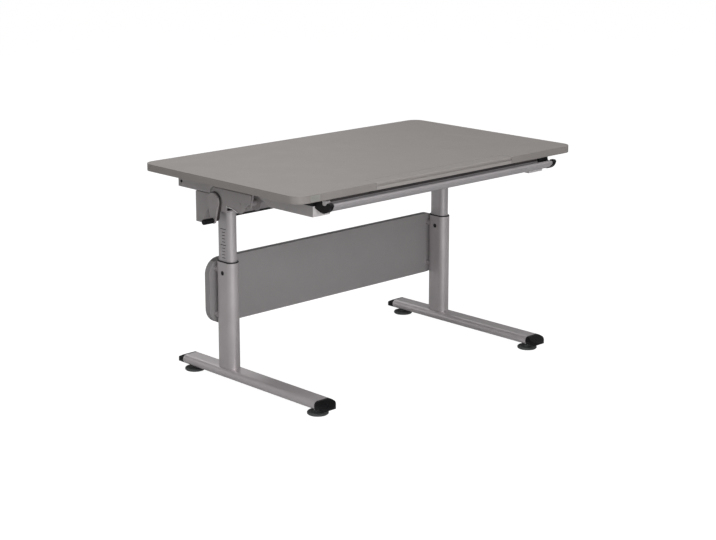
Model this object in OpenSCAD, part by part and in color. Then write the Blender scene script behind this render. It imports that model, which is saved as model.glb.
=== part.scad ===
/* [Tabletop] */
// Width of the tabletop, left to right
top_w = 1200; // [1000:10:1400]
// Depth of the tabletop, front to back
top_d = 720; // [640:5:800]
// Thickness of the tabletop
top_t = 22; // [20:1:28]
// Height of the writing surface above the floor at the middle setting
top_z = 675; // [660:1:690]
// Corner radius of the tabletop
top_r = 40; // [10:1:70]
// Length of the flush stop strip let into the front edge
strip_w = 590; // [400:5:700]
// Depth of the stop strip, front to back
strip_d = 45; // [35:1:60]
// Gap round the stop strip
strip_gap = 0.8; // [0.5:0.1:1.5]
// Travel of the stop strip when it is drawn up
strip_lift = 10; // [6:1:12]
// Top lip of the stop strip above its finger groove
lip_h = 5.5; // [4:0.5:8]
// Height of the finger groove
groove_h = 6; // [4:0.5:8]
// Depth of the finger groove
groove_d = 4; // [2:0.5:6]
// Left end of the blank badge, from the left edge of the tabletop
badge_x = 48; // [45:1:80]
// Length of the blank badge
badge_w = 36; // [20:1:40]
// Height of the blank badge
badge_h = 18; // [10:1:19]
// Thickness of the blank badge
badge_t = 0.8; // [0.5:0.1:1.5]

/* [Feet] */
// Distance of each leg from the middle of the desk
leg_x = 468.5; // [400:0.5:480]
// Width of the flat-oval foot tube
foot_w = 66; // [60:1:76]
// Height of the flat-oval foot tube
foot_h = 28; // [26:1:34]
// Wall of the foot tube
foot_wall = 2.5; // [2:0.5:3]
// Length of the foot tube without its caps
foot_len = 618; // [560:1:650]
// Rear end of the foot tube, in front of the rear edge of the tabletop
foot_inset = 55; // [50:1:90]
// Free height under the foot tube
foot_clear = 20.5; // [18:0.5:24]
// Length of a nose cap in front of its seam
cap_len = 39; // [36:1:50]
// Height of the blunt tip of a nose cap
cap_tip_h = 11; // [10:1:16]
// Plan radius at the corners of a nose cap
cap_r = 26; // [12:1:28]
// Diameter of a glide disc
glide_d = 64; // [50:1:70]
// Thickness of a glide disc
glide_t = 8; // [6:0.5:10]
// Distance of each glide from the end of the foot tube
glide_inset = 19.5; // [16:0.5:40]
// Diameter of a glide stem
stem_d = 8; // [6:1:10]

/* [Columns] */
// Middle of the columns, in front of the rear edge of the tabletop
col_back = 248; // [240:1:260]
// Width of the outer column
outer_w = 45; // [43:1:50]
// Depth of the outer column
outer_d = 77; // [74:1:82]
// Wall of the outer column
outer_wall = 2.5; // [2:0.5:3]
// Top of the outer column above the floor
outer_top = 385; // [345:1:388]
// Thickness of the collar on the outer column
collar_t = 3; // [2:0.5:5]
// Length of the guide bush inside the outer column
bush_len = 60; // [45:1:90]
// Width of the inner column
inner_w = 36; // [34:1:37]
// Depth of the inner column
inner_d = 66; // [62:1:68]
// Wall of the inner column
inner_wall = 2; // [1.5:0.5:2.5]
// Length of the inner column
inner_len = 362; // [320:1:370]
// Thickness of the base plate inside the foot of the outer column
base_plate_t = 5; // [4:0.5:8]
// Distance between the two bolts in a column foot
base_bolt_span = 36; // [30:1:44]
// Height of the clamp screws above the floor
clamp_z = 351; // [340:1:360]
// Diameter of the clamp screws
clamp_d = 10; // [6:1:12]
// Number of dashes in the height scale
scale_count = 10; // [5:1:14]
// Pitch of the dashes in the height scale
scale_pitch = 10; // [8:0.5:12]
// Height of the lowest dash above the collar
scale_start = 10; // [3:1:12]

/* [Modesty panel] */
// How far the panel reaches past the middle of each leg
panel_side = 35.5; // [30:0.5:50]
// Height of the panel
panel_h = 208; // [180:1:215]
// Underside of the panel above the floor
panel_z = 178; // [150:1:180]
// Thickness of the panel
panel_t = 22; // [16:1:22]
// Corner radius of the panel
panel_r = 50; // [20:1:80]
// Length of the spacers between column and panel
spacer_len = 9.5; // [6:0.5:10]
// Diameter of the spacers
spacer_d = 18; // [14:1:20]
// Distance between the upper and the lower spacer
spacer_span = 145; // [110:1:150]
// How far the spacers and their screws stand to the left of the middle of a column
spacer_shift = 7; // [0:0.5:8]

/* [Tilting frame] */
// Width of a side rail
rail_w = 66; // [64:1:72]
// Height of a side rail
rail_h = 56.5; // [54:0.5:60]
// Sheet of a side rail
rail_wall = 2.5; // [2:0.5:3]
// Front end of the side rails, behind the front edge of the tabletop
rail_front = 47; // [44:1:50]
// Rear end of the side rails, in front of the rear edge of the tabletop
rail_back = 53; // [50:1:70]
// Gap between the rail walls and the top of the head bracket
rail_cut_gap = 1.5; // [1.5:0.5:3]
// Gap between the rail walls and the front of the head bracket's top, which the tilt takes up
rail_cut_front_gap = 17; // [16.5:0.5:20]
// Length of the slanted end of the cut-out in the outer rail wall
rail_cut_slant = 74; // [60:1:80]
// Length of the cut-out in the rail walls behind the head bracket
rail_cut_back = 3; // [3:0.5:8]
// Outer radius of the hook caps on the front rail
hook_r = 33; // [31:0.5:34]
// How far the hook caps reach in front of the tabletop
hook_reach = 19; // [16:0.5:21]
// Lowest point of the hook caps, under the tabletop
hook_drop = 41; // [39:0.5:43]
// How far the hook caps stand proud of the front rail
hook_proud = 2; // [1:0.5:2.5]
// Radius of the channel in the front rail
channel_r = 10.5; // [9:0.5:11.5]
// Thickness of the front rail behind its channel
channel_back = 28.5; // [26:0.5:30]
// Top of the front rail lip, under the tabletop
hook_lip = 13; // [11:0.5:15]
// Gap between the tabletop and the upright of the front rail
hook_gap = 6; // [5:0.5:8]
// Wall of the front rail
hook_wall = 2.2; // [1.8:0.1:2.5]
// How far the front rail reaches past the middle of each leg, without its caps
hook_rail_side = 10.5; // [4:0.5:12]
// Length of a hook cap
hook_cap_w = 14; // [12:1:16]
// Length of the stop block on the right hook cap
stop_block = 29; // [20:1:32]
// Thickness of the tilt plate
tilt_t = 6; // [5:1:8]
// Radius of the toothed edge of the tilt plate
sector_r = 100; // [96:1:102]
// Angle from one tilt notch to the next
notch_step = 3; // [3:0.5:4]
// Number of tilt notches
notch_count = 6; // [4:1:6]

/* [Lift frame] */
// Sheet of the head bracket
head_wall = 3; // [2.5:0.5:3]
// Pivot in front of the middle of the column
pivot_fwd = 98; // [94:1:100]
// Pivot above the top of the inner column
pivot_up = 32; // [30:1:34]
// Radius of the lobe round the pivot
lobe_r = 25; // [22:1:26]
// Diameter of the pivot pins and the release shaft
pin_d = 12; // [10:1:12]
// Height of the head bracket above the top of the inner column
head_h = 70; // [66:1:72]
// Length of the head bracket in front of the pivot
head_nose = 53; // [48:1:54]
// Depth of the cross beam over its open top
beam_d = 74; // [68:1:76]
// Depth of the cross beam at its floor
beam_floor = 28; // [20:1:30]
// Height of the cross beam
beam_h = 95.5; // [90:0.5:98]
// Height of the upright front wall of the cross beam
beam_upright = 24; // [20:1:30]
// Sheet of the cross beam
beam_wall = 2.5; // [2:0.5:3]

/* [Release lever] */
// Shaft behind the middle of the column
shaft_back = 17; // [16:0.5:18]
// Shaft above the top of the inner column
shaft_up = 27; // [26:0.5:28]
// Radius of the round head of the lever
lever_head_r = 28; // [24:1:28]
// Radius of the lower end of the lever
lever_tip_r = 10; // [8:1:12]
// Distance from the shaft to the grip
lever_len = 58; // [50:1:64]
// Thickness of the lever
lever_t = 6; // [5:0.5:8]
// Gap between the lever and the head bracket
lever_gap = 4; // [3:0.5:5]
// Diameter of the grip
grip_d = 17; // [14:1:20]
// Length of the grip
grip_len = 38; // [30:1:45]

/* [Hidden] */
$fn = 64;

// Clearances: a running fit, a loose fit of a fastener, a sliding plastic guide
fit = 0.05;
loose = 0.1;
slide = 0.3;
eps = 1;

// Colours
grey = [0.60, 0.58, 0.57];
top_grey = [0.58, 0.56, 0.54];
silver = [0.68, 0.66, 0.67];
black = [0.08, 0.08, 0.08];
steel = [0.70, 0.70, 0.72];
dark = [0.25, 0.26, 0.26];

// Sizes of fasteners and small parts
wood_screw_d = 4;
wood_screw_head_d = 9;
wood_screw_head_t = 2.5;
wood_screw_bite = 14;
bolt_d = 6;
bolt_head_d = 11;
bolt_head_t = 4;
cap_screw_d = 5;
lip_r = 6;
base_bolt_d = 8;
base_bolt_head_d = 13;
base_bolt_head_t = 8;
carrier_t = 3;
head_flange = 3;
flange_h = 2.5;
head_chamfer = 12;
guide_pin_d = 6;
bush_wall = 2;
guide_t = 4;
insert_wall = 2;
glide_insert_d = 12;
glide_insert_len = 14;
plug_len = 15;
spring_wire = 2;
spring_turns = 6;
spring_pitch = 3;

// The origin is on the floor under the middle of the whole footprint.
// Depths are counted back from the front edge of the tabletop, which lies at front_y.
front_y = -(top_d - hook_reach) / 2;

// Lengths across the desk
panel_w = 2 * (leg_x + panel_side);
hook_rail_w = 2 * (leg_x + hook_rail_side);

// Heights
top_under = top_z - top_t;
foot_top = foot_clear + foot_h;
rail_bottom = top_under - rail_h;
head_z = top_under - 105;
inner_bottom = head_z - inner_len;
pivot_z = head_z + pivot_up;
shaft_z = head_z + shaft_up;
beam_top = rail_bottom - 2;
beam_z = beam_top - beam_h;
web_under = top_under - rail_wall;

// Depths from the front edge of the tabletop
col_b = top_d - col_back;
foot_b1 = top_d - foot_inset;
foot_b0 = foot_b1 - foot_len;
rail_b0 = rail_front;
rail_b1 = top_d - rail_back;
pivot_b = col_b - pivot_fwd;
shaft_b = col_b + shaft_back;
head_b0 = pivot_b - head_nose;
head_b1 = col_b + inner_d / 2 + 3;
beam_b0 = head_b1;
beam_b1 = beam_b0 + beam_d;
panel_b = col_b + outer_d / 2 + spacer_len;
spacer_saddle = 9;
panel_screw_b0 = col_b + outer_d / 2 - outer_wall;
panel_screw_zs = [panel_z + 32, panel_z + 32 + spacer_span];
strip_slot_d = strip_d + strip_gap;
carrier_b0 = 4;
carrier_b1 = strip_slot_d + 20;
carrier_w = strip_w + 46;
carrier_screw_b = carrier_b1 - 10;
guide_pin_x = strip_w / 3;
guide_pin_b = strip_d / 2;

// Across the leg, counted from its middle
head_x = rail_w / 2;
lever_x = head_x + lever_gap;

// The hook profile, and what is fixed to it
hook_b = hook_r - hook_reach;
hook_z = top_under - hook_drop + hook_r;
rail_hook_r = hook_r - hook_proud;
lip_z = top_under - hook_lip;
upright_b = rail_b0 - channel_back;
upright_top = top_under - hook_gap;
channel_b = upright_b - channel_r;
hook_cap_x1 = hook_rail_w / 2 + hook_cap_w;
cap_plug_len = 12;
cap_screw_x = hook_rail_w / 2 + hook_cap_w / 2;
cap_screw_z = hook_z - 15;
rail_bolt_z = upright_top - 9.5;
rail_bolt_xs = [hook_rail_w / 2 - cap_plug_len - 22.5, hook_rail_w / 2 - cap_plug_len - 10.5];

module place() translate([0, front_y, 0]) children();
module at_leg(side) translate([side * leg_x, 0, 0]) children();

// A 2D outline drawn in depth and height, carried from x0 to x1
module across(x0, x1)
    translate([x0, 0, 0]) rotate([90, 0, 90]) linear_extrude(x1 - x0) children();
// A 2D outline drawn in x and height, carried from b0 to b1
module along(b0, b1) translate([0, b1, 0]) rotate([90, 0, 0]) linear_extrude(b1 - b0) children();
// Round bars along x, in depth and upright
module rod_x(x0, x1, b, z, d) translate([x0, b, z]) rotate([0, 90, 0]) cylinder(h = x1 - x0, d = d);
module rod_b(x, b0, b1, z, d) translate([x, b1, z]) rotate([90, 0, 0]) cylinder(h = b1 - b0, d = d);
module rod_z(x, b, z0, z1, d) translate([x, b, z0]) cylinder(h = z1 - z0, d = d);

module stadium(w, h) {
    square([w - h, h], center = true);
    for (s = [-1, 1]) translate([s * (w - h) / 2, 0]) circle(d = h);
}
module column_outline(w, d) rotate(90) stadium(d, w);
module rounded(w, d, r) {
    square([w - 2 * r, d], center = true);
    square([w, d - 2 * r], center = true);
    for (sx = [-1, 1], sy = [-1, 1]) translate([sx * (w / 2 - r), sy * (d / 2 - r)]) circle(r = r);
}

// Places of the fasteners
rail_screw_bs = [rail_b0 + 33, rail_b0 + 153, rail_b1 - 127, rail_b1 - 27];
rail_screw_xs = [-18, 18];
tilt_bolt_bs = [pivot_b - 10, pivot_b + 35, pivot_b + 80];
tilt_bolt_x = 16;
carrier_screw_xs = [-carrier_w / 2 + 12, -carrier_w / 4, 0, carrier_w / 4, carrier_w / 2 - 12];
beam_low_screw = [12, 20];
beam_high_screw = [22, 18];
beam_screw_spots = [
    [beam_b1 - beam_low_screw[0], beam_z + beam_low_screw[1]],
    [beam_b0 + beam_high_screw[0], beam_top - beam_high_screw[1]]
];
rail_hole_back = 15;
rail_hole_up = 17;

module at_rail_screws()
    for (side = [-1, 1], x = rail_screw_xs, b = rail_screw_bs)
        translate([side * leg_x + x, b, 0]) children();
module at_tilt_bolts()
    for (side = [-1, 1], b = tilt_bolt_bs) translate([side * (leg_x - tilt_bolt_x), b, 0]) children();
module at_carrier_screws() for (x = carrier_screw_xs) translate([x, carrier_screw_b, 0]) children();

// Tabletop and stop strip
module tabletop() color(top_grey) place() difference() {
    translate([0, top_d / 2, top_under]) linear_extrude(top_t) rounded(top_w, top_d, top_r);
    translate([-strip_w / 2 - strip_gap, -eps, top_under - eps])
        cube([strip_w + 2 * strip_gap, strip_slot_d + eps, top_t + 2 * eps]);
    hole_top = top_under + wood_screw_bite + 1;
    at_rail_screws() rod_z(0, 0, top_under - eps, hole_top, wood_screw_d + loose);
    at_tilt_bolts() rod_z(0, 0, top_under - eps, hole_top, bolt_d + loose);
    at_carrier_screws() rod_z(0, 0, top_under - eps, hole_top, wood_screw_d + loose);
}

module strip_outline() difference() {
    translate([0, top_under]) square([strip_d, top_t]);
    translate([-eps, top_z - lip_h - groove_h]) square([groove_d + eps, groove_h]);
}
module stop_strip() color(top_grey) place() difference() {
    across(-strip_w / 2, strip_w / 2) strip_outline();
    for (s = [-1, 1])
        rod_z(s * guide_pin_x, guide_pin_b, top_under - eps, top_under + strip_lift + 8,
            guide_pin_d + 2 * loose);
}
module strip_carrier() color(dark) place() difference() {
    translate([-carrier_w / 2, carrier_b0, top_under - carrier_t])
        cube([carrier_w, carrier_b1 - carrier_b0, carrier_t]);
    at_carrier_screws()
        rod_z(0, 0, top_under - carrier_t - eps, top_under + eps, wood_screw_d + 2 * loose);
    for (s = [-1, 1])
        rod_z(s * guide_pin_x, guide_pin_b, top_under - carrier_t - eps, top_under + eps, guide_pin_d);
}
module strip_guide_pins() color(steel) place() for (s = [-1, 1])
    rod_z(s * guide_pin_x, guide_pin_b, top_under - carrier_t, top_under + strip_lift + 6, guide_pin_d);
module wood_screw(seat_z) {
    rod_z(0, 0, seat_z - wood_screw_head_t, seat_z, wood_screw_head_d);
    rod_z(0, 0, seat_z - 0.01, top_under + wood_screw_bite, wood_screw_d);
}
module carrier_screws() color(steel) place() at_carrier_screws() wood_screw(top_under - carrier_t);
module badge_plate() color(silver) place()
    translate([badge_x - top_w / 2, -badge_t, top_under + (top_t - badge_h) / 2])
        cube([badge_w, badge_t, badge_h]);

// Side rail: a sheet channel, open below, with closed ends and room for the head bracket in its walls
module rail_cut(slant) {
    cut_b0 = head_b0 - 8;
    cut_b1 = head_b1 + rail_cut_back;
    head_top = head_z + head_h;
    polygon([
        [cut_b0 - slant, rail_bottom],
        [cut_b0, head_top + rail_cut_front_gap],
        [head_b0, head_top + rail_cut_front_gap],
        [pivot_b + 10, head_top + rail_cut_gap + 1],
        [head_b1 - head_chamfer + rail_cut_gap, head_top + rail_cut_gap],
        [cut_b1, head_top + 2 * rail_cut_gap - head_chamfer - rail_cut_back],
        [cut_b1, rail_bottom - eps],
        [cut_b0 - slant, rail_bottom - eps]
    ]);
}
module side_rail(side) at_leg(side) mirror([side > 0 ? 1 : 0, 0, 0]) {
    difference() {
        translate([-rail_w / 2, rail_b0, rail_bottom]) cube([rail_w, rail_b1 - rail_b0, rail_h]);
        translate([-rail_w / 2 + rail_wall, rail_b0 + rail_wall, rail_bottom - eps])
            cube([rail_w - 2 * rail_wall, rail_b1 - rail_b0 - 2 * rail_wall, rail_h - rail_wall + eps]);
        across(-rail_w / 2 - eps, 0) rail_cut(rail_cut_slant);
        across(0, rail_w / 2 + eps) rail_cut(0);
        for (x = rail_screw_xs, b = rail_screw_bs)
            rod_z(x, b, web_under - eps, top_under + eps, wood_screw_d + 2 * loose);
        for (b = tilt_bolt_bs)
            rod_z(tilt_bolt_x, b, web_under - eps, top_under + eps, bolt_d + 2 * loose);
        for (x = rail_bolt_xs)
            rod_b(leg_x - x, rail_b0 - eps, rail_b0 + rail_wall + eps, rail_bolt_z, bolt_d + 2 * loose);
        rod_b(leg_x - cap_screw_x, rail_b0 - eps, rail_b0 + rail_wall + eps, cap_screw_z,
            cap_screw_d + 2 * loose);
        rod_x(-rail_w / 2 - eps, -rail_w / 2 + rail_wall + eps, rail_b1 - rail_hole_back,
            rail_bottom + rail_hole_up, bolt_d);
    }
}
module left_side_rail() color(grey) place() side_rail(-1);
module right_side_rail() color(grey) place() side_rail(1);
module rail_screws() color(steel) place() at_rail_screws() wood_screw(web_under);

// Tilt plate: hangs from the rail, turns on the pivot pin and carries the tilt notches
tilt_bore_d = pin_d + 2 * fit;
tilt_flange_b0 = pivot_b - 25;
tilt_flange_b1 = pivot_b + 95;
sector_low = -14;
sector_high = 12;
module tilt_outline() {
    hang_z = pivot_z + 22;
    pivot = [pivot_b, pivot_z];
    difference() {
        union() {
            translate([pivot_b, pivot_z]) circle(r = pin_d / 2 + 12);
            polygon([
                [pivot_b - 18, pivot_z],
                [tilt_flange_b0, hang_z],
                [tilt_flange_b0, web_under],
                [tilt_flange_b1, web_under],
                pivot + sector_r * [cos(sector_high), sin(sector_high)],
                pivot + (sector_r - 9) * [cos(sector_low), sin(sector_low)],
                [pivot_b + 10, pivot_z - 2]
            ]);
            intersection() {
                translate([pivot_b, pivot_z]) circle(r = sector_r, $fn = 160);
                polygon([
                    pivot,
                    pivot + 1.2 * sector_r * [cos(sector_low), sin(sector_low)],
                    pivot + 1.2 * sector_r * [cos(sector_high), sin(sector_high)]
                ]);
            }
        }
        translate([pivot_b, pivot_z]) circle(d = tilt_bore_d);
        for (i = [0 : notch_count - 1])
            translate([pivot_b, pivot_z]) rotate(pawl_angle - i * notch_step)
                polygon([
                    [sector_r - 4, -1.2],
                    [sector_r + 1, -2],
                    [sector_r + 1, 1.6],
                    [sector_r - 4, 0.6]
                ]);
    }
}
module tilt_plate(side) at_leg(side) mirror([side > 0 ? 1 : 0, 0, 0]) difference() {
    union() {
        across(-tilt_t / 2, tilt_t / 2) tilt_outline();
        translate([0, tilt_flange_b0, web_under - 4])
            cube([tilt_bolt_x + 10, tilt_flange_b1 - tilt_flange_b0, 4]);
    }
    for (b = tilt_bolt_bs) rod_z(tilt_bolt_x, b, web_under - 5, web_under + eps, bolt_d + 2 * loose);
}
module left_tilt_plate() color(steel) place() tilt_plate(-1);
module right_tilt_plate() color(steel) place() tilt_plate(1);
module tilt_plate_bolts() color(steel) place() at_tilt_bolts() {
    rod_z(0, 0, web_under - 4 - bolt_head_t, web_under - 4, bolt_head_d);
    rod_z(0, 0, web_under - 4.01, top_under + wood_screw_bite, bolt_d);
}

// Front rail: a hollow section with a round nose, a channel along its top and an upright behind
module hook_outline(r, lip, top, channel, t) {
    lip_b = hook_b - sqrt(pow(r - lip_r, 2) - pow(hook_z - lip + lip_r, 2));
    difference() {
        union() {
            intersection() {
                translate([hook_b, hook_z]) circle(r = r - t);
                translate([hook_b - 2 * r, lip - lip_r - 2 * r]) square([4 * r, 2 * r]);
            }
            translate([lip_b, lip - lip_r]) circle(r = lip_r - t);
            translate([lip_b, lip - lip_r - 2]) square([upright_b + t + 0.5 - lip_b, lip_r + 2 - t]);
            polygon([
                [upright_b + t, top - t],
                [upright_b + t, hook_z - 0.5 * r],
                [hook_b - 0.1 * r, hook_z - 0.9 * r],
                [hook_b + 0.3 * r, hook_z - r + t + 0.6],
                [rail_b0 - t, hook_z - 0.68 * r + t],
                [rail_b0 - t, top - t]
            ]);
        }
        translate([channel_b, hook_z]) circle(r = channel + t);
    }
}
module front_rail() color(silver) place() difference() {
    across(-hook_rail_w / 2, hook_rail_w / 2) difference() {
        hook_outline(rail_hook_r, lip_z, upright_top, channel_r, 0);
        hook_outline(rail_hook_r, lip_z, upright_top, channel_r, hook_wall);
    }
    for (s = [-1, 1], x = rail_bolt_xs)
        rod_b(s * x, rail_b0 - hook_wall - eps, rail_b0 + eps, rail_bolt_z, bolt_d + loose);
}
module front_rail_bolts() color(steel) place() for (s = [-1, 1], x = rail_bolt_xs) {
    rod_b(s * x, rail_b0 + rail_wall, rail_b0 + rail_wall + bolt_head_t, rail_bolt_z, bolt_head_d);
    rod_b(s * x, rail_b0 - hook_wall - 4, rail_b0 + rail_wall + 0.01, rail_bolt_z, bolt_d);
}

// Hook cap: closes one end of the front rail and serves as a bag hook
module hook_cap(side, block) mirror([side > 0 ? 1 : 0, 0, 0]) difference() {
    x0 = -hook_rail_w / 2;
    union() {
        across(-hook_cap_x1, x0) hook_outline(hook_r, lip_z + 3, upright_top + 1, channel_r, 0);
        across(x0 - 0.01, x0 + cap_plug_len)
            hook_outline(rail_hook_r, lip_z, upright_top, channel_r, hook_wall + loose);
        if (block > 0) {
            translate([x0 - 0.01, upright_b - 2, lip_z]) cube([block, 2, upright_top + 3 - lip_z]);
            translate([x0 - 0.01, upright_b - 0.01, upright_top]) cube([block, rail_b0 - upright_b - 4, 3]);
        }
    }
    rod_b(-cap_screw_x, -hook_reach - eps, rail_b0 - 20, cap_screw_z, bolt_head_d + 1);
    rod_b(-cap_screw_x, -eps, rail_b0 + eps, cap_screw_z, cap_screw_d + 2 * loose);
}
module left_hook_cap() color(black) place() hook_cap(-1, 0);
module right_hook_cap() color(black) place() hook_cap(1, stop_block);
module hook_cap_screws() color(steel) place() for (s = [-1, 1]) difference() {
    union() {
        rod_b(s * cap_screw_x, -hook_reach + 8, rail_b0 - 20, cap_screw_z, bolt_head_d);
        rod_b(s * cap_screw_x, rail_b0 - 20.01, rail_b0 + rail_wall + 2, cap_screw_z, cap_screw_d);
    }
    translate([s * cap_screw_x, -hook_reach + 11, cap_screw_z]) rotate([90, 0, 0])
        cylinder(h = 4, d = 5, $fn = 6);
}

// Head bracket: a sheet channel on the inner column with the pivot lobe in front and the beam end behind
module beam_outline(t) polygon([
    [beam_b1 - t, beam_top],
    [beam_b1 - t, beam_z + t],
    [beam_b1 - beam_floor + t / 2, beam_z + t],
    [beam_b0 + t, beam_top - beam_upright - t / 2],
    [beam_b0 + t, beam_top]
]);
head_under = [
    [col_b - inner_d / 2 - 8, head_z + 18.5],
    [pivot_b + 30, pivot_z - 16],
    [pivot_b + 4, pivot_z - lobe_r + 0.8]
];
module head_outline() {
    translate([pivot_b, pivot_z]) circle(r = lobe_r);
    polygon([
        [head_b1 - head_chamfer, head_z + head_h],
        [head_b1, head_z + head_h - head_chamfer],
        [head_b1, head_z],
        [col_b - inner_d / 2 - 3, head_z],
        each head_under,
        [pivot_b - lobe_r, pivot_z + 2],
        [head_b0 + 5, head_z + 42],
        [head_b0, head_z + head_h - 8],
        [head_b0, head_z + head_h]
    ]);
}
module head_bracket(side) at_leg(side) mirror([side > 0 ? 1 : 0, 0, 0]) difference() {
    union() {
        across(-head_x, -head_x + head_wall) {
            head_outline();
            translate([-0.01, 0]) beam_outline(0);
        }
        across(head_x - head_wall, head_x) head_outline();
        translate([-head_x, col_b - inner_d / 2 - 3, head_z])
            cube([2 * head_x, head_b1 - col_b + inner_d / 2 + 3, 4]);
        across(-head_x - head_flange, -head_x + 0.01) polygon([
            each head_under,
            for (i = [2 : -1 : 0]) head_under[i] + [0, flange_h]
        ]);
    }
    rod_x(-head_x - eps, head_x + eps, pivot_b, pivot_z, pin_d + 2 * fit);
    rod_x(-head_x - eps, head_x + eps, shaft_b, shaft_z, pin_d + 2 * bush_wall + loose);
    for (spot = beam_screw_spots)
        rod_x(-head_x + 0.4, -head_x + head_wall + eps, spot[0], spot[1], bolt_d - 1 + loose);
}
module left_head_bracket() color(grey) place() head_bracket(-1);
module right_head_bracket() color(grey) place() head_bracket(1);

// Cross beam: a sheet trough between the brackets that also holds cables
module cross_beam() color(grey) place() {
    x1 = leg_x + head_x - head_wall;
    difference() {
        across(-x1, x1) beam_outline(0);
        across(-x1 + beam_wall, x1 - beam_wall) union() {
            beam_outline(beam_wall);
            translate([beam_b0 + beam_wall, beam_top - 1]) square([beam_d - 2 * beam_wall, 2]);
        }
        for (s = [-1, 1], spot = beam_screw_spots)
            rod_x(s * x1 - 5, s * x1 + 5, spot[0], spot[1], bolt_d - 1 + loose);
    }
}
module beam_screws() color(steel) place() for (s = [-1, 1], spot = beam_screw_spots)
    mirror([s > 0 ? 1 : 0, 0, 0]) {
        x1 = -leg_x - head_x + head_wall;
        rod_x(x1 + beam_wall, x1 + beam_wall + 3, spot[0], spot[1], bolt_head_d - 2);
        rod_x(x1 - head_wall + 0.6, x1 + beam_wall + 0.01, spot[0], spot[1], bolt_d - 1);
    }

// Pivot pins with a low head outside, and the spacers that centre the tilt plate
module pivot_pins() color(steel) place() for (s = [-1, 1]) at_leg(s) {
    rod_x(-head_x - 0.01, head_x + 0.01, pivot_b, pivot_z, pin_d);
    rod_x(-head_x - 1.5, -head_x, pivot_b, pivot_z, pin_d + 5);
    rod_x(head_x, head_x + 1.5, pivot_b, pivot_z, pin_d + 5);
}
module pivot_spacers() color(black) place()
    for (s = [-1, 1], e = [0, 1]) at_leg(s) mirror([e, 0, 0]) difference() {
        rod_x(-head_x + head_wall, -tilt_t / 2 - slide, pivot_b, pivot_z, pin_d + 8);
        rod_x(-head_x, 0, pivot_b, pivot_z, pin_d + 2 * slide);
    }

// Release shaft, its bushes, the pawls, the lever and the grip
shaft_x0 = -leg_x - lever_x - lever_t;
shaft_x1 = leg_x + head_x + 3;
module shaft_bushes() color(black) place()
    for (s = [-1, 1], e = [0, 1]) at_leg(s) mirror([e, 0, 0]) difference() {
        union() {
            rod_x(-head_x, -head_x + head_wall, shaft_b, shaft_z, pin_d + 2 * bush_wall);
            flange = s < 0 && e == 0 ? lever_gap - slide : 1.5;
            rod_x(-head_x - flange, -head_x, shaft_b, shaft_z, pin_d + 2 * bush_wall + 5);
        }
        rod_x(-head_x - lever_gap - eps, -head_x + head_wall + eps, shaft_b, shaft_z, pin_d + 2 * fit);
    }
module release_shaft() color(steel) place() rod_x(shaft_x0, shaft_x1, shaft_b, shaft_z, pin_d);

pawl_angle = 5;
pawl_gap = 0.4;
module pawl_outline() {
    tip = [pivot_b, pivot_z] + (sector_r + pawl_gap) * [cos(pawl_angle), sin(pawl_angle)];
    difference() {
        union() {
            translate([shaft_b, shaft_z]) circle(r = pin_d / 2 + 5);
            polygon([
                tip,
                [tip[0] + 1.5, tip[1] + 3],
                [shaft_b - 2, shaft_z + pin_d / 2 + 4.5],
                [shaft_b - pin_d / 2 - 4, shaft_z],
                [tip[0] + 0.6, tip[1] - 1.4]
            ]);
        }
        translate([shaft_b, shaft_z]) circle(d = pin_d + loose);
    }
}
module ratchet_pawls() color(steel) place() for (s = [-1, 1]) at_leg(s)
    across(-tilt_t / 2, tilt_t / 2) pawl_outline();

// The lever is a teardrop: two circles with nearly tangent sides
lever_lean = 2;
grip_b = shaft_b - lever_lean;
grip_z = shaft_z - lever_len;
lever_dist = sqrt(pow(lever_lean, 2) + pow(lever_len, 2));
lever_down = atan2(grip_z - shaft_z, grip_b - shaft_b);
lever_spread = acos((lever_head_r - lever_tip_r) / lever_dist);
function lever_edge(b, z, r, side) =
    let (turn = lever_down + side * lever_spread) [b + (r - 0.3) * cos(turn), z + (r - 0.3) * sin(turn)];
module release_lever() color(grey) place() difference() {
    x1 = shaft_x0 + lever_t;
    union() {
        rod_x(shaft_x0, x1, shaft_b, shaft_z, 2 * lever_head_r);
        rod_x(shaft_x0, x1, grip_b, grip_z, 2 * lever_tip_r);
        across(shaft_x0, x1) polygon([
            [shaft_b, shaft_z + lever_head_r / 2],
            lever_edge(shaft_b, shaft_z, lever_head_r, 1),
            lever_edge(grip_b, grip_z, lever_tip_r, 1),
            [grip_b, grip_z - lever_tip_r / 2],
            lever_edge(grip_b, grip_z, lever_tip_r, -1),
            lever_edge(shaft_b, shaft_z, lever_head_r, -1)
        ]);
    }
    rod_x(shaft_x0 - eps, x1 + eps, shaft_b, shaft_z, pin_d + loose);
    rod_x(shaft_x0 - eps, x1 + eps, grip_b, grip_z, stem_d + loose);
}
module grip_pin() color(steel) place()
    rod_x(shaft_x0 - grip_len + 6, shaft_x0 + lever_t, grip_b, grip_z, stem_d);
module lever_grip() color(black) place() difference() {
    union() {
        rod_x(shaft_x0 - grip_len, shaft_x0 - 0.2, grip_b, grip_z, grip_d - 1.6);
        for (i = [0 : 6]) translate([-i * 5.2, 0, 0])
            rod_x(shaft_x0 - 5.6, shaft_x0 - 2, grip_b, grip_z, grip_d);
    }
    rod_x(shaft_x0 - grip_len + 5, shaft_x0, grip_b, grip_z, stem_d + loose);
}

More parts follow.
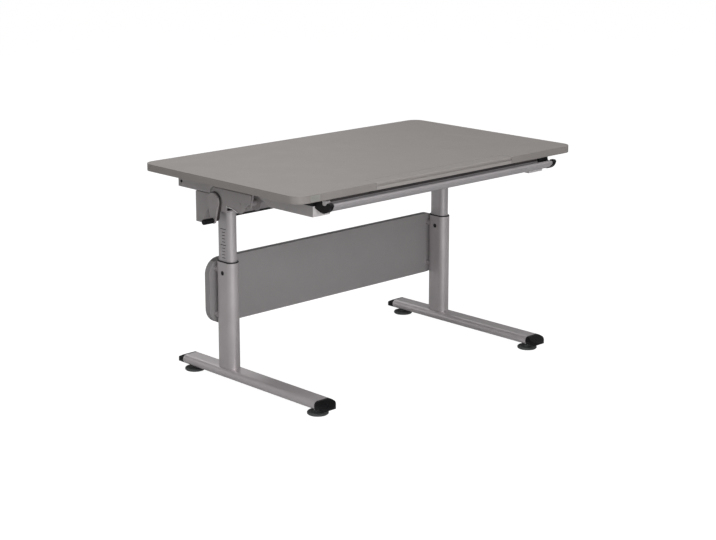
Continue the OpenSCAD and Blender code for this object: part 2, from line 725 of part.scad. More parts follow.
// Torsion spring on the shaft, beside the inner wall of the left bracket
spring_sides = 6;
spring_steps = 24;
function spring_ring(i) =
    let (a = i * 360 / spring_steps, r = pin_d / 2 + 0.4 + spring_wire / 2,
         x = -leg_x + head_x + 1.8 + spring_wire / 2 + i * spring_pitch / spring_steps)
    [for (k = [0 : spring_sides - 1])
        let (p = k * 360 / spring_sides, rr = r + spring_wire / 2 * cos(p))
        [x + spring_wire / 2 * sin(p), shaft_b + rr * cos(a), shaft_z + rr * sin(a)]];
module lever_spring() color(steel) place() {
    last = spring_turns * spring_steps;
    points = [for (i = [0 : last]) each spring_ring(i)];
    ends = [
        [for (k = [0 : spring_sides - 1]) k],
        [for (k = [spring_sides - 1 : -1 : 0]) last * spring_sides + k]
    ];
    walls = [for (i = [0 : last - 1], k = [0 : spring_sides - 1])
        let (a = i * spring_sides + k, b = i * spring_sides + (k + 1) % spring_sides)
        each [[b, a, a + spring_sides], [b, a + spring_sides, b + spring_sides]]];
    polyhedron(points, concat(ends, walls));
}

// Columns
module column_tube(w, d, wall, z0, z1) translate([0, col_b, z0]) linear_extrude(z1 - z0) difference() {
    column_outline(w, d);
    column_outline(w - 2 * wall, d - 2 * wall);
}
scale_z = outer_top + collar_t + scale_start;
dash_len = 15;
long_dash_len = 26;
dash_b0 = col_b - 10;
long_dash_b0 = col_b - 14;
dash_h = 2.2;
dash_deep = 0.5;
module inner_column(side) at_leg(side) column_tube(inner_w, inner_d, inner_wall, inner_bottom, head_z);
module left_inner_column() color(silver) place() difference() {
    inner_column(-1);
    for (i = [0 : scale_count - 1]) {
        long = i % 5 == 4;
        translate([-leg_x - inner_w / 2 - eps, long ? long_dash_b0 : dash_b0, scale_z + i * scale_pitch])
            cube([eps + dash_deep, long ? long_dash_len : dash_len, dash_h]);
    }
}
module right_inner_column() color(silver) place() inner_column(1);
module column_guides() color(black) place() for (s = [-1, 1]) at_leg(s) translate([0, col_b, inner_bottom]) {
    translate([0, 0, -guide_t]) linear_extrude(guide_t)
        column_outline(outer_w - 2 * outer_wall - 2 * slide, outer_d - 2 * outer_wall - 2 * slide);
    linear_extrude(plug_len)
        column_outline(inner_w - 2 * inner_wall - 2 * loose, inner_d - 2 * inner_wall - 2 * loose);
}

module clamp_hole(d) rod_x(-outer_w / 2 - eps, -inner_w / 2 + eps, col_b, clamp_z, d);
module outer_column(side) at_leg(side) difference() {
    column_tube(outer_w, outer_d, outer_wall, foot_top, outer_top);
    rod_x(-outer_w / 2 - eps, 0, col_b, clamp_z, clamp_d + 2 * insert_wall + loose);
    for (z = panel_screw_zs) rod_b(-spacer_shift, col_b, col_b + outer_d, z, bolt_d + loose);
}
module left_outer_column() color(silver) place() outer_column(-1);
module right_outer_column() color(silver) place() outer_column(1);
module column_bush(side) at_leg(side) difference() {
    translate([0, col_b, 0]) {
        translate([0, 0, outer_top]) linear_extrude(collar_t) column_outline(outer_w, outer_d);
        translate([0, 0, outer_top - bush_len]) linear_extrude(bush_len)
            column_outline(outer_w - 2 * outer_wall - 2 * loose, outer_d - 2 * outer_wall - 2 * loose);
    }
    translate([0, col_b, outer_top - bush_len - eps]) linear_extrude(bush_len + collar_t + 2 * eps)
        column_outline(inner_w + 2 * slide, inner_d + 2 * slide);
    rod_x(-outer_w / 2 - eps, 0, col_b, clamp_z, clamp_d + 2 * insert_wall + 2 * loose);
}
module left_column_bush() color(black) place() column_bush(-1);
module right_column_bush() color(black) place() column_bush(1);
module clamp_inserts() color(black) place() for (s = [-1, 1]) at_leg(s) difference() {
    rod_x(-outer_w / 2, -inner_w / 2 - slide, col_b, clamp_z, clamp_d + 2 * insert_wall);
    clamp_hole(clamp_d + 2 * fit);
}
module clamp_screw(side) at_leg(side) difference() {
    rod_x(-outer_w / 2 + 0.5, -inner_w / 2 - slide, col_b, clamp_z, clamp_d);
    translate([-outer_w / 2, col_b, clamp_z]) rotate([0, 90, 0]) cylinder(h = 3, d = clamp_d / 2, $fn = 6);
}
module left_clamp_screw() color(dark) place() clamp_screw(-1);
module right_clamp_screw() color(dark) place() clamp_screw(1);

// Column foot: a plate inside the column, bolted up through the foot tube
base_bolt_bs = [col_b - base_bolt_span / 2, col_b + base_bolt_span / 2];
module column_base_plates() color(steel) place() for (s = [-1, 1]) at_leg(s) difference() {
    translate([0, col_b, foot_top]) linear_extrude(base_plate_t)
        column_outline(outer_w - 2 * outer_wall - 2 * loose, outer_d - 2 * outer_wall - 2 * loose);
    for (b = base_bolt_bs) rod_z(0, b, foot_top - eps, foot_top + base_plate_t + eps, base_bolt_d + loose);
}
module column_bolts() color(steel) place() for (s = [-1, 1], b = base_bolt_bs) at_leg(s) difference() {
    seat = foot_top - foot_wall;
    union() {
        rod_z(0, b, seat - base_bolt_head_t, seat, base_bolt_head_d);
        rod_z(0, b, seat - 0.01, foot_top + base_plate_t, base_bolt_d);
    }
    translate([0, b, seat - base_bolt_head_t - eps]) cylinder(h = 5, d = 7, $fn = 6);
}

// Modesty panel on saddle-ended spacers
module modesty_panel() color(grey) place() difference() {
    translate([0, 0, panel_z + panel_h / 2]) along(panel_b, panel_b + panel_t)
        rounded(panel_w, panel_h, panel_r);
    for (s = [-1, 1], z = panel_screw_zs)
        rod_b(s * leg_x - spacer_shift, panel_b - eps, panel_b + panel_t + eps, z, bolt_d + 2 * loose);
}
module panel_spacers() color(silver) place() for (s = [-1, 1], z = panel_screw_zs) at_leg(s) difference() {
    rod_b(-spacer_shift, col_b + outer_d / 2 - spacer_saddle, panel_b, z, spacer_d);
    translate([0, col_b, z - spacer_d]) linear_extrude(2 * spacer_d)
        column_outline(outer_w + 2 * loose, outer_d + 2 * loose);
    rod_b(-spacer_shift, col_b, panel_b + eps, z, bolt_d + 2 * loose);
}
module panel_screws() color(steel) place() for (s = [-1, 1], z = panel_screw_zs)
    at_leg(s) translate([-spacer_shift, 0, 0]) difference() {
        union() {
            rod_b(0, panel_b + panel_t, panel_b + panel_t + 3, z, bolt_head_d + 1);
            rod_b(0, panel_screw_b0, panel_b + panel_t + 0.01, z, bolt_d);
        }
        translate([0, panel_b + panel_t + 3 + eps, z]) rotate([90, 0, 0]) cylinder(h = 3, d = 4.6, $fn = 6);
    }

// Feet
glide_bs = [foot_b0 + glide_inset, foot_b1 - glide_inset];
module foot_tube(side) at_leg(side) difference() {
    translate([0, 0, foot_clear + foot_h / 2]) along(foot_b0, foot_b1) difference() {
        stadium(foot_w, foot_h);
        stadium(foot_w - 2 * foot_wall, foot_h - 2 * foot_wall);
    }
    for (b = glide_bs) rod_z(0, b, foot_clear - eps, foot_clear + foot_wall + eps, glide_insert_d + loose);
    for (b = base_bolt_bs) {
        rod_z(0, b, foot_clear - eps, foot_clear + foot_wall + eps, base_bolt_head_d + 3);
        rod_z(0, b, foot_top - foot_wall - eps, foot_top + eps, base_bolt_d + loose);
    }
}
module left_foot_tube() color(silver) place() foot_tube(-1);
module right_foot_tube() color(silver) place() foot_tube(1);

// Nose cap: the tube's section, cut to a rounded plan and a sloping top, with a plug in the tube
module nose_plan() {
    translate([-foot_w / 2, 0]) square([foot_w, cap_len - cap_r]);
    translate([-foot_w / 2 + cap_r, 0]) square([foot_w - 2 * cap_r, cap_len]);
    for (s = [-1, 1]) translate([s * (foot_w / 2 - cap_r), cap_len - cap_r]) circle(r = cap_r);
}
module nose_side() {
    tip_r = cap_tip_h / 2;
    tip = [cap_len - tip_r, tip_r + 2];
    translate(tip) circle(r = tip_r);
    polygon([
        [0, 0],
        [cap_len - 18, 0],
        tip + tip_r * [cos(250), sin(250)],
        tip,
        tip + tip_r * [cos(70), sin(70)],
        [8, foot_h - 0.5],
        [0, foot_h]
    ]);
}
module nose_cap() {
    intersection() {
        translate([0, 0, foot_h / 2]) along(0, cap_len) stadium(foot_w, foot_h);
        linear_extrude(foot_h) nose_plan();
        across(-foot_w / 2, foot_w / 2) nose_side();
    }
    difference() {
        translate([0, 0, foot_h / 2]) along(-plug_len + 3, 0.01)
            stadium(foot_w - 2 * foot_wall - 2 * loose, foot_h - 2 * foot_wall - 2 * loose);
        translate([0, 0, foot_h / 2]) along(-plug_len, -1)
            stadium(foot_w - 4 * foot_wall, foot_h - 4 * foot_wall);
    }
}
module foot_cap(side, rear) at_leg(side) translate([0, rear ? foot_b1 : foot_b0, foot_clear])
    rotate([0, 0, rear ? 0 : 180]) nose_cap();
module left_front_foot_cap() color(black) place() foot_cap(-1, false);
module left_rear_foot_cap() color(black) place() foot_cap(-1, true);
module right_front_foot_cap() color(black) place() foot_cap(1, false);
module right_rear_foot_cap() color(black) place() foot_cap(1, true);

module glide_inserts() color(steel) place() for (s = [-1, 1], b = glide_bs) at_leg(s) difference() {
    rod_z(0, b, foot_clear, foot_clear + glide_insert_len, glide_insert_d);
    rod_z(0, b, foot_clear - eps, foot_clear + glide_insert_len + eps, stem_d + 2 * fit);
}
module glide_profile() {
    r = glide_d / 2;
    polygon([
        [0, 0], [r - 2, 0], [r, 2], [r, glide_t - 2], [r - 2, glide_t],
        [r * 0.45, glide_t + 2], [stem_d / 2 + 4.5, foot_clear - 3], [stem_d / 2 + 4.5, foot_clear],
        [stem_d / 2 + loose, foot_clear], [stem_d / 2 + loose, 3], [0, 3]
    ]);
}
module glide(side, i) at_leg(side) translate([0, glide_bs[i], 0]) rotate_extrude() glide_profile();
module glide_stem(side, i) at_leg(side) rod_z(0, glide_bs[i], 3, foot_clear + glide_insert_len, stem_d);
module left_front_glide() color(dark) place() glide(-1, 0);
module left_rear_glide() color(dark) place() glide(-1, 1);
module right_front_glide() color(dark) place() glide(1, 0);
module right_rear_glide() color(dark) place() glide(1, 1);
module left_front_glide_stem() color(steel) place() glide_stem(-1, 0);
module left_rear_glide_stem() color(steel) place() glide_stem(-1, 1);
module right_front_glide_stem() color(steel) place() glide_stem(1, 0);
module right_rear_glide_stem() color(steel) place() glide_stem(1, 1);

tabletop();
stop_strip();
strip_carrier();
strip_guide_pins();
carrier_screws();
badge_plate();
left_side_rail();
right_side_rail();
rail_screws();
left_tilt_plate();
right_tilt_plate();
tilt_plate_bolts();
front_rail();
front_rail_bolts();
left_hook_cap();
right_hook_cap();
hook_cap_screws();
left_head_bracket();
right_head_bracket();
cross_beam();
beam_screws();
pivot_pins();
pivot_spacers();
shaft_bushes();
release_shaft();
ratchet_pawls();
release_lever();
grip_pin();
lever_grip();
lever_spring();
left_inner_column();
right_inner_column();
column_guides();
left_outer_column();
right_outer_column();
left_column_bush();
right_column_bush();
clamp_inserts();
left_clamp_screw();
right_clamp_screw();
column_base_plates();
column_bolts();
modesty_panel();
panel_spacers();
panel_screws();
left_foot_tube();
right_foot_tube();
left_front_foot_cap();
left_rear_foot_cap();
right_front_foot_cap();
right_rear_foot_cap();
glide_inserts();
left_front_glide();
left_rear_glide();
right_front_glide();
right_rear_glide();
left_front_glide_stem();
left_rear_glide_stem();
right_front_glide_stem();
right_rear_glide_stem();
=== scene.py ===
import math
import bmesh
import bpy
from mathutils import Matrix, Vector
from mathutils.geometry import convex_hull_2d


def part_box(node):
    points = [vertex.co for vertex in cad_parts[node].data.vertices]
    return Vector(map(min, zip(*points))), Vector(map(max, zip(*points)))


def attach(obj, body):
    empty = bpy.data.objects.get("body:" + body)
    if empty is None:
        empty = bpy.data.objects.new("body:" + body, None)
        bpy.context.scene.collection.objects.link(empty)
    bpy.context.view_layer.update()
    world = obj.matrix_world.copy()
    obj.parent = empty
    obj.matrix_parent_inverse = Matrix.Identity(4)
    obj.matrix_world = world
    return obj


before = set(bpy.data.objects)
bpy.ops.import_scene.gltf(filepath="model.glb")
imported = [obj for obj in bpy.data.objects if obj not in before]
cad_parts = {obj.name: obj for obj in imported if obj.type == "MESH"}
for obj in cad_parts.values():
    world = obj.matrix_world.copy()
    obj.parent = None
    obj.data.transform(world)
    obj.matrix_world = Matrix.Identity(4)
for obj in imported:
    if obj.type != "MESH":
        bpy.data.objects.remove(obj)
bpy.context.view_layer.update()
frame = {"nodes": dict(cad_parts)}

# All lengths are in metres
nodes = frame["nodes"]
scene = bpy.context.scene
scene.view_settings.view_transform = "Standard"


# Camera at the photograph's viewing angle
def photo_camera():
    pitch_down, turn_right = 0.2104, 0.7621
    data = bpy.data.cameras.new("camera")
    data.sensor_width = 36.0
    data.lens = 82.46
    data.shift_y = -0.1
    data.clip_end = 200.0
    camera = bpy.data.objects.new("camera", data)
    camera.location = (-3.5375, -3.6697, 1.6197)
    camera.rotation_euler = (math.pi / 2 - pitch_down, 0.0, -turn_right)
    scene.collection.objects.link(camera)
    return camera


scene.camera = photo_camera()


# Light: a pale studio
def area_light(name, at, aim, size, watts):
    data = bpy.data.lights.new(name, "AREA")
    data.shape = "RECTANGLE"
    data.size, data.size_y = size
    data.energy = watts
    light = bpy.data.objects.new(name, data)
    light.location = at
    light.rotation_euler = (Vector(aim) - Vector(at)).to_track_quat("-Z", "Y").to_euler()
    scene.collection.objects.link(light)


desk_middle = (0.0, 0.0, 0.45)
desk_low = (0.0, 0.0, 0.4)
desk_left = (-0.1, 0.0, 0.45)
area_light("top_softbox", at=(-0.3, -0.4, 3.6), aim=desk_low, size=(3.2, 3.2), watts=67.5)
area_light("front_softbox", at=(-1.95, -3.75, 1.55), aim=desk_left, size=(3.0, 2.2), watts=100.0)
area_light("left_softbox", at=(-4.0, -1.2, 2.3), aim=desk_middle, size=(2.0, 2.2), watts=13.0)
area_light("right_softbox", at=(3.7, -1.2, 1.6), aim=desk_middle, size=(2.0, 2.0), watts=12.0)
area_light("back_softbox", at=(1.6, 3.6, 2.6), aim=desk_middle, size=(3.0, 2.0), watts=16.0)
area_light("back_fill", at=(-1.4, 4.0, 1.1), aim=desk_low, size=(3.0, 1.8), watts=14.0)


# Shader parts that the world and the floor share
def math_node(tree, operation, a, b):
    """The result of an operation on two values, each of them a socket or a number"""
    node = tree.nodes.new("ShaderNodeMath")
    node.operation = operation
    for socket, value in zip(node.inputs, (a, b)):
        if isinstance(value, float):
            socket.default_value = value
        else:
            tree.links.new(value, socket)
    return node.outputs[0]


def seen_by_camera(tree, path):
    """1 for a ray from the camera, straight or through glass, and 0 for any other"""
    return math_node(tree, "MAXIMUM", path.outputs["Is Camera Ray"], path.outputs["Is Transmission Ray"])


def mix_shaders(tree, factor, a, b):
    mix = tree.nodes.new("ShaderNodeMixShader")
    tree.links.new(factor, mix.inputs["Fac"])
    tree.links.new(a, mix.inputs[1])
    tree.links.new(b, mix.inputs[2])
    return mix.outputs["Shader"]


def background(tree, colour, strength):
    node = tree.nodes.new("ShaderNodeBackground")
    node.inputs["Color"].default_value = (*colour, 1.0)
    node.inputs["Strength"].default_value = strength
    return node.outputs["Background"]


def studio_world():
    """White to the camera, faintly white in reflections, and a soft fill for everything else"""
    fill_strength, white_strength, gloss_share = 0.15, 1.0, 0.15
    world = bpy.data.worlds.new("studio")
    world.use_nodes = True
    tree = world.node_tree
    tree.nodes.clear()
    path = tree.nodes.new("ShaderNodeLightPath")
    gloss = math_node(tree, "MULTIPLY", path.outputs["Is Glossy Ray"], gloss_share)
    whiteness = math_node(tree, "MAXIMUM", seen_by_camera(tree, path), gloss)
    fill = background(tree, (1.0, 0.995, 0.985), fill_strength)
    white = background(tree, (1.0, 1.0, 1.0), white_strength)
    out = tree.nodes.new("ShaderNodeOutputWorld")
    tree.links.new(mix_shaders(tree, whiteness, fill, white), out.inputs["Surface"])
    return world


scene.world = studio_world()


# Materials. A noise is spread over its usual range, from noise_low to noise_high
noise_low, noise_high = 0.3, 0.7


def new_material(name):
    mat = bpy.data.materials.new(name)
    mat.use_nodes = True
    tree = mat.node_tree
    tree.nodes.clear()
    out = tree.nodes.new("ShaderNodeOutputMaterial")
    bsdf = tree.nodes.new("ShaderNodeBsdfPrincipled")
    tree.links.new(bsdf.outputs["BSDF"], out.inputs["Surface"])
    return mat, tree, bsdf


def object_coords(tree, scale=(1.0, 1.0, 1.0)):
    coord = tree.nodes.new("ShaderNodeTexCoord")
    mapping = tree.nodes.new("ShaderNodeMapping")
    mapping.inputs["Scale"].default_value = scale
    tree.links.new(coord.outputs["Object"], mapping.inputs["Vector"])
    return mapping.outputs["Vector"]


def noise(tree, vector, scale, detail):
    node = tree.nodes.new("ShaderNodeTexNoise")
    node.inputs["Scale"].default_value = scale
    node.inputs["Detail"].default_value = detail
    node.inputs["Roughness"].default_value = 0.6
    tree.links.new(vector, node.inputs["Vector"])
    return node.outputs["Fac"]


def remap(tree, value, low, high):
    """A noise stretched to run from low to high"""
    node = tree.nodes.new("ShaderNodeMapRange")
    node.inputs["From Min"].default_value = noise_low
    node.inputs["From Max"].default_value = noise_high
    node.inputs["To Min"].default_value = low
    node.inputs["To Max"].default_value = high
    tree.links.new(value, node.inputs["Value"])
    return node.outputs["Result"]


def two_tone(tree, value, colour, spread):
    """The colour, darker by the spread where a noise is low and lighter where it is high"""
    node = tree.nodes.new("ShaderNodeValToRGB")
    dark, light = node.color_ramp.elements
    for tone, position, k in ((dark, noise_low, 1 - spread), (light, noise_high, 1 + spread)):
        tone.position = position
        tone.color = (*(c * k for c in colour), 1.0)
    tree.links.new(value, node.inputs["Fac"])
    return node.outputs["Color"]


def mix_colour(tree, share, a, b):
    """Colour a with this share of colour b"""
    node = tree.nodes.new("ShaderNodeMix")
    node.data_type = "RGBA"
    node.inputs["Factor"].default_value = share
    tree.links.new(a, node.inputs["A"])
    tree.links.new(b, node.inputs["B"])
    return node.outputs["Result"]


def bump(tree, bsdf, height, strength, distance):
    node = tree.nodes.new("ShaderNodeBump")
    node.inputs["Strength"].default_value = strength
    node.inputs["Distance"].default_value = distance
    tree.links.new(height, node.inputs["Height"])
    tree.links.new(node.outputs["Normal"], bsdf.inputs["Normal"])


def laminate(name, colour):
    """Melamine-faced board: a fine closed texture with faint cloudiness"""
    spread, fleck_spread, fleck_share = 0.06, 0.096, 0.4
    rough_low, rough_high = 0.46, 0.58
    mat, tree, bsdf = new_material(name)
    vec = object_coords(tree)
    cloud = noise(tree, vec, scale=9.0, detail=5.0)
    fleck = noise(tree, vec, scale=900.0, detail=2.0)
    base = two_tone(tree, cloud, colour, spread)
    flecks = two_tone(tree, fleck, colour, fleck_spread)
    tree.links.new(mix_colour(tree, fleck_share, base, flecks), bsdf.inputs["Base Color"])
    tree.links.new(remap(tree, cloud, rough_low, rough_high), bsdf.inputs["Roughness"])
    bsdf.inputs["Specular IOR Level"].default_value = 0.35
    bump(tree, bsdf, fleck, strength=0.18, distance=0.0002)
    return mat


def powder_coat(name, colour, metallic, rough):
    """Sprayed coat: fine orange peel and slightly uneven gloss"""
    spread, smoother, rougher = 0.05, 0.04, 0.05
    mat, tree, bsdf = new_material(name)
    vec = object_coords(tree)
    cloud = noise(tree, vec, scale=14.0, detail=4.0)
    peel = noise(tree, vec, scale=700.0, detail=2.0)
    tree.links.new(two_tone(tree, cloud, colour, spread), bsdf.inputs["Base Color"])
    tree.links.new(remap(tree, cloud, rough - smoother, rough + rougher), bsdf.inputs["Roughness"])
    bsdf.inputs["Metallic"].default_value = metallic
    bump(tree, bsdf, peel, strength=0.12, distance=0.0002)
    return mat


def drawn_metal(name, colour, rough, axis, metallic=1.0):
    """Drawn or brushed metal: fine lines along one axis"""
    spread, smoother, rougher = 0.05, 0.05, 0.07
    along, across = 3.0, 420.0
    mat, tree, bsdf = new_material(name)
    line_scale = [along if letter == axis else across for letter in "XYZ"]
    lines = noise(tree, object_coords(tree, line_scale), scale=1.0, detail=3.0)
    cloud = noise(tree, object_coords(tree), scale=11.0, detail=3.0)
    tree.links.new(two_tone(tree, cloud, colour, spread), bsdf.inputs["Base Color"])
    tree.links.new(remap(tree, lines, rough - smoother, rough + rougher), bsdf.inputs["Roughness"])
    bsdf.inputs["Metallic"].default_value = metallic
    bump(tree, bsdf, lines, strength=0.1, distance=0.0001)
    return mat


def moulded(name, colour, rough):
    """Moulded plastic: a fine matt grain, and a gloss that varies a little"""
    spread, smoother, rougher = 0.12, 0.05, 0.06
    mat, tree, bsdf = new_material(name)
    vec = object_coords(tree)
    cloud = noise(tree, vec, scale=30.0, detail=3.0)
    grain = noise(tree, vec, scale=1100.0, detail=2.0)
    tree.links.new(two_tone(tree, cloud, colour, spread), bsdf.inputs["Base Color"])
    tree.links.new(remap(tree, cloud, rough - smoother, rough + rougher), bsdf.inputs["Roughness"])
    bsdf.inputs["Specular IOR Level"].default_value = 0.2
    bump(tree, bsdf, grain, strength=0.25, distance=0.0002)
    return mat


top_mat = laminate("warm_grey_laminate", (0.295, 0.274, 0.262))
panel_mat = laminate("panel_laminate", (0.288, 0.274, 0.278))
# Darker copy of the top laminate: painted shade on the upright faces of the top
top_side_shade_mat = laminate("laminate_sides_painted_shade", (0.259, 0.240, 0.229))
# Lighter copy of the top laminate: painted highlight on the front faces of the stop strip
lip_highlight_mat = laminate("strip_front_painted_highlight", (0.335, 0.312, 0.300))
# Darker copy of the panel laminate: painted shade on the panel's upward faces, under the top
panel_top_shade_mat = laminate("panel_top_painted_shade", (0.13, 0.122, 0.122))
frame_mat = powder_coat("frame_powder_coat", (0.336, 0.311, 0.315), metallic=0.1, rough=0.42)
rail_mat = powder_coat("rail_powder_coat", (0.362, 0.338, 0.341), metallic=0.15, rough=0.4)
# Lighter copy of the rail coat: painted light on the front end faces of the side rails
rail_end_light_mat = powder_coat("rail_end_painted_light", (0.66, 0.63, 0.635), metallic=0.15, rough=0.4)
leg_mat = powder_coat("silver_powder_coat", (0.50, 0.468, 0.477), metallic=0.6, rough=0.38)
# Lighter copy of the silver leg coat: painted light on the feet
foot_lit_mat = powder_coat("silver_coat_painted_light_feet", (0.565, 0.53, 0.541), metallic=0.55, rough=0.33)
# Black steel for the screws, and painted shade on the strip carrier
dark_mat = powder_coat("blackened_steel_and_gap_shade", (0.03, 0.03, 0.032), metallic=0.5, rough=0.4)
# Bright coat for the painted highlight on the bracket flanges
edge_highlight_mat = powder_coat("painted_edge_highlight", (0.80, 0.78, 0.78), metallic=0.2, rough=0.35)
# Dark brown for painted shade: the plate behind the lever and the strip on the front rail
shade_brown_mat = powder_coat("painted_shade_brown", (0.055, 0.048, 0.047), metallic=0.1, rough=0.5)
inner_mat = drawn_metal("drawn_steel_tube", (0.465, 0.44, 0.45), rough=0.37, axis="Z", metallic=0.45)
alu_mat = drawn_metal("anodised_aluminium", (0.40, 0.380, 0.392), rough=0.45, axis="X", metallic=0.4)
badge_mat = drawn_metal("brushed_badge", (0.36, 0.36, 0.34), rough=0.4, axis="X", metallic=0.5)
zinc_mat = drawn_metal("zinc_plate", (0.60, 0.60, 0.61), rough=0.3, axis="Y")
black_mat = moulded("black_plastic", (0.008, 0.008, 0.009), rough=0.42)
nose_mat = moulded("black_nose_plastic", (0.006, 0.006, 0.007), rough=0.30)
ink_mat = moulded("dark_ink", (0.012, 0.011, 0.011), rough=0.6)
glide_mat = moulded("dark_grey_plastic", (0.085, 0.09, 0.09), rough=0.5)
liner_mat = moulded("pale_grey_plastic", (0.42, 0.41, 0.41), rough=0.5)


def both(*names):
    """The left and the right node of each name"""
    return [side + "_" + name for name in names for side in ("left", "right")]


# The nodes of each material. All other nodes are zinc plated
node_materials = (
    (top_mat, ["tabletop", "stop_strip"]),
    (panel_mat, ["modesty_panel"]),
    (badge_mat, ["badge_plate"]),
    (alu_mat, ["front_rail"]),
    (rail_mat, both("side_rail", "tilt_plate")),
    (frame_mat, ["cross_beam", "release_lever", "release_shaft", "pivot_pins", "pivot_spacers"]),
    (frame_mat, both("head_bracket")),
    (inner_mat, both("inner_column")),
    (leg_mat, ["column_base_plates", "panel_spacers"] + both("outer_column")),
    (foot_lit_mat, both("foot_tube")),
    # The strip carrier is black as painted shade in the gap under the stop strip
    (dark_mat, ["strip_carrier", "hook_cap_screws"] + both("clamp_screw")),
    (black_mat, ["lever_grip", "column_guides", "shaft_bushes", "clamp_inserts"]),
    (black_mat, both("hook_cap", "column_bush")),
    (nose_mat, both("front_foot_cap", "rear_foot_cap")),
    (glide_mat, both("front_glide", "rear_glide")),
)
by_node = dict.fromkeys(nodes, zinc_mat)
for material, names in node_materials:
    by_node.update(dict.fromkeys(names, material))

# Edge radii, for the highlights on the edges, and the nodes that have them
rounded_nodes = {
    0.0020: ["tabletop"],
    0.0015: ["modesty_panel"],
    0.0012: ["release_lever"] + both("side_rail"),
    0.0008: ["stop_strip", "cross_beam"] + both("hook_cap"),
    0.0006: both("head_bracket"),
    0.0005: ["front_rail"] + both("column_bush"),
    0.0004: ["lever_grip"] + both("outer_column"),
    0.0002: ["badge_plate"],
}


def soften(obj, radius):
    """Rounds the sharp edges of a node, once its flat faces are made whole"""
    fine_radius, weld_distance = 0.0005, 0.00001
    flat_angle, sharp_angle = math.radians(0.5), math.radians(38)
    mesh = obj.data
    if "custom_normal" in mesh.attributes:
        mesh.attributes.remove(mesh.attributes["custom_normal"])
    mesh.polygons.foreach_set("use_smooth", [True] * len(mesh.polygons))
    weld = obj.modifiers.new("weld", "WELD")
    weld.merge_threshold = weld_distance
    flat = obj.modifiers.new("flat_faces", "DECIMATE")
    flat.decimate_type = "DISSOLVE"
    flat.angle_limit = flat_angle
    bevel = obj.modifiers.new("edge_radius", "BEVEL")
    bevel.width = radius
    bevel.segments = 3 if radius > fine_radius else 2
    bevel.limit_method = "ANGLE"
    bevel.angle_limit = sharp_angle
    bevel.harden_normals = True
    bevel.use_clamp_overlap = True


for name, obj in nodes.items():
    obj.data.materials.clear()
    obj.data.materials.append(by_node[name])
    obj.data.polygons.foreach_set("material_index", [0] * len(obj.data.polygons))
for radius, names in rounded_nodes.items():
    for name in names:
        soften(nodes[name], radius)


def paint_light_by_normal(name, material, wanted):
    """A second material, painted light or shade, on the faces of a node whose normal is wanted"""
    obj = nodes[name]
    obj.data.materials.append(material)
    slot = len(obj.data.materials) - 1
    for polygon in obj.data.polygons:
        if wanted(polygon.normal):
            polygon.material_index = slot


# A limit near 1 keeps to faces square to the axis, and 0.5 takes in the rounded ones beside them
# Painted shade on the upright faces of the top
paint_light_by_normal("tabletop", top_side_shade_mat, lambda normal: abs(normal.z) < 0.5)
# Painted highlight on the front faces of the stop strip
paint_light_by_normal("stop_strip", lip_highlight_mat, lambda normal: normal.y < -0.5)
# Painted shade on the upward faces of the modesty panel, where the top shades it
paint_light_by_normal("modesty_panel", panel_top_shade_mat, lambda normal: normal.z > 0.85)
# Painted light on the front end faces of the side rails
for name in both("side_rail"):
    paint_light_by_normal(name, rail_end_light_mat, lambda normal: normal.y < -0.9)


# Measures and forms of the trim and of the painted shade and highlight pieces
front_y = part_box("tabletop")[0][1]
under_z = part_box("tabletop")[0][2]


def behind(depth):
    """The y of a place this far behind the front edge of the top"""
    return front_y + depth


def below(drop):
    """The z of a place this far below the underside of the top"""
    return under_z - drop


def outer_x(name):
    """How far the outer face of a node is from the middle of the desk"""
    return max(abs(corner[0]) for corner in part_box(name))


def side_middle(name):
    """The middle of a node as seen from the side: its y and z"""
    low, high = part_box(name)
    return Vector(((low[1] + high[1]) / 2, (low[2] + high[2]) / 2))


def circle(centre, radius, steps):
    turns = [2 * math.pi * i / steps for i in range(steps)]
    return [centre + radius * Vector((math.cos(t), math.sin(t))) for t in turns]


def rectangle(u0, v0, u1, v1):
    return [(u0, v0), (u1, v0), (u1, v1), (u0, v1)]


def mesh_object(name, bm, material):
    mesh = bpy.data.meshes.new(name)
    bm.to_mesh(mesh)
    bm.free()
    mesh.materials.append(material)
    obj = bpy.data.objects.new(name, mesh)
    scene.collection.objects.link(obj)
    return obj


def swept(name, outline, axis, span, material, edge=0.0002):
    """A thin piece: a closed outline swept over a span of the X or Z axis, its edges rounded"""
    def corner(u, v, w):
        return {"X": (w, u, v), "Z": (u, v, w)}[axis]
    bm = bmesh.new()
    near, far = ([bm.verts.new(corner(u, v, w)) for u, v in outline] for w in sorted(span))
    bm.faces.new(near)
    bm.faces.new(far)
    for i, vert in enumerate(near):
        j = (i + 1) % len(near)
        bm.faces.new((vert, near[j], far[j], far[i]))
    bmesh.ops.recalc_face_normals(bm, faces=bm.faces)
    bmesh.ops.bevel(bm, geom=list(bm.edges), offset=edge, segments=2, affect="EDGES")
    return mesh_object(name, bm, material)


